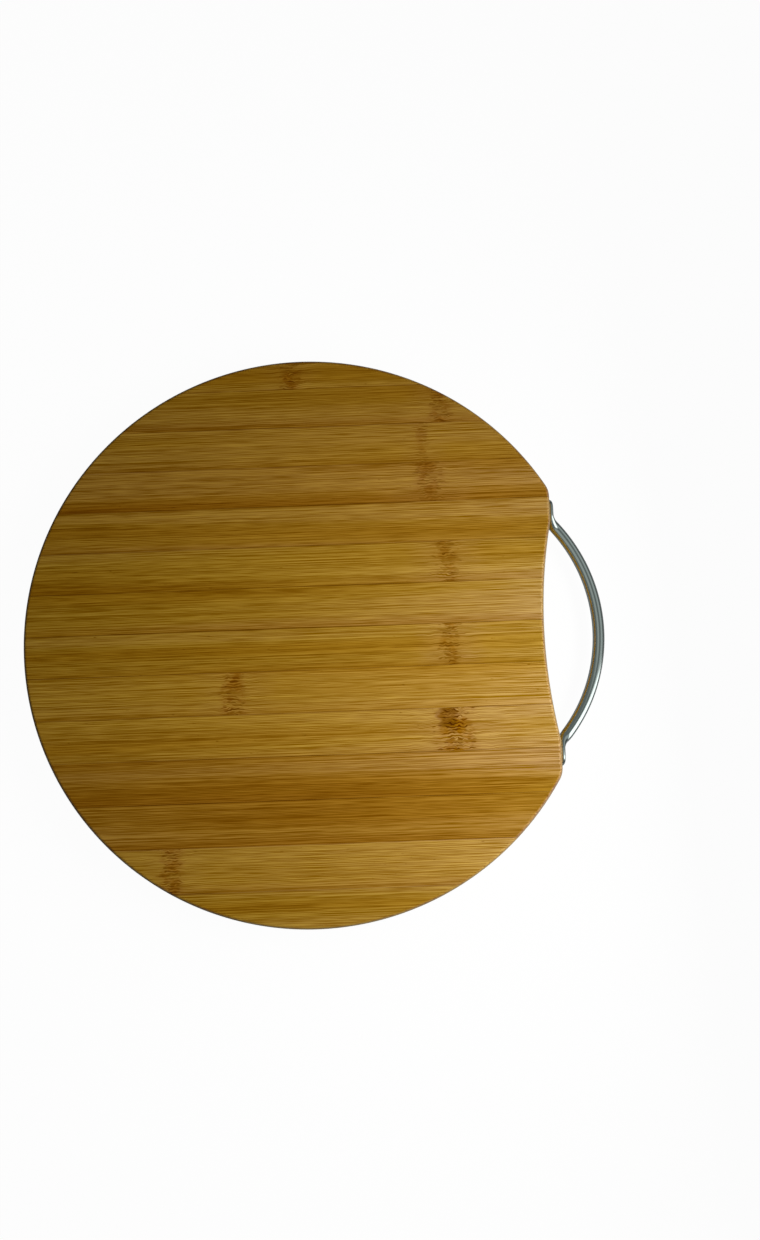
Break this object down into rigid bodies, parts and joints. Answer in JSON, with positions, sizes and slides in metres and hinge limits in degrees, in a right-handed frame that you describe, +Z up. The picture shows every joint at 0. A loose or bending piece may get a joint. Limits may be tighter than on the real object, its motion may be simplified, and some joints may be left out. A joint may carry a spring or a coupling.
{
  "type": "round cutting board",
  "caption": "Round laminated bamboo cutting board with a hollowed grip in its edge and a bent steel bar screwed across it as a carrying handle.",
  "frame": {"origin": "centre of the round board on the face that it rests on", "axes": "+Z up out of the cutting face, +X towards the carrying handle and within 1.5 degrees of the strips of both faces"},
  "size_m": [0.3077, 0.3, 0.018],
  "materials": {
    "face_bamboo": "carbonised bamboo strips, sanded flat and oiled",
    "core_bamboo": "carbonised bamboo strips, sanded at the rim",
    "handle_steel": "polished stainless steel bar",
    "screw_steel": "stainless steel, turned head"
  },
  "bodies": {
    "root": {"top_strip_01": "face_bamboo", "top_strip_02": "face_bamboo", "top_strip_03": "face_bamboo", "top_strip_04": "face_bamboo", "top_strip_05": "face_bamboo", "top_strip_06": "face_bamboo", "top_strip_07": "face_bamboo", "top_strip_08": "face_bamboo", "top_strip_09": "face_bamboo", "top_strip_10": "face_bamboo", "top_strip_11": "face_bamboo", "top_strip_12": "face_bamboo", "top_strip_13": "face_bamboo", "top_strip_14": "face_bamboo", "core_strip_01": "core_bamboo", "core_strip_02": "core_bamboo", "core_strip_03": "core_bamboo", "core_strip_04": "core_bamboo", "core_strip_05": "core_bamboo", "core_strip_06": "core_bamboo", "core_strip_07": "core_bamboo", "core_strip_08": "core_bamboo", "core_strip_09": "core_bamboo", "core_strip_10": "core_bamboo", "core_strip_11": "core_bamboo", "core_strip_12": "core_bamboo", "core_strip_13": "core_bamboo", "core_strip_14": "core_bamboo", "underside_strip_01": "face_bamboo", "underside_strip_02": "face_bamboo", "underside_strip_03": "face_bamboo", "underside_strip_04": "face_bamboo", "underside_strip_05": "face_bamboo", "underside_strip_06": "face_bamboo", "underside_strip_07": "face_bamboo", "underside_strip_08": "face_bamboo", "underside_strip_09": "face_bamboo", "underside_strip_10": "face_bamboo", "underside_strip_11": "face_bamboo", "underside_strip_12": "face_bamboo", "underside_strip_13": "face_bamboo", "underside_strip_14": "face_bamboo", "carrying_handle": "handle_steel", "handle_screw_upper": "screw_steel", "handle_screw_lower": "screw_steel"}
  },
  "joints": []
}
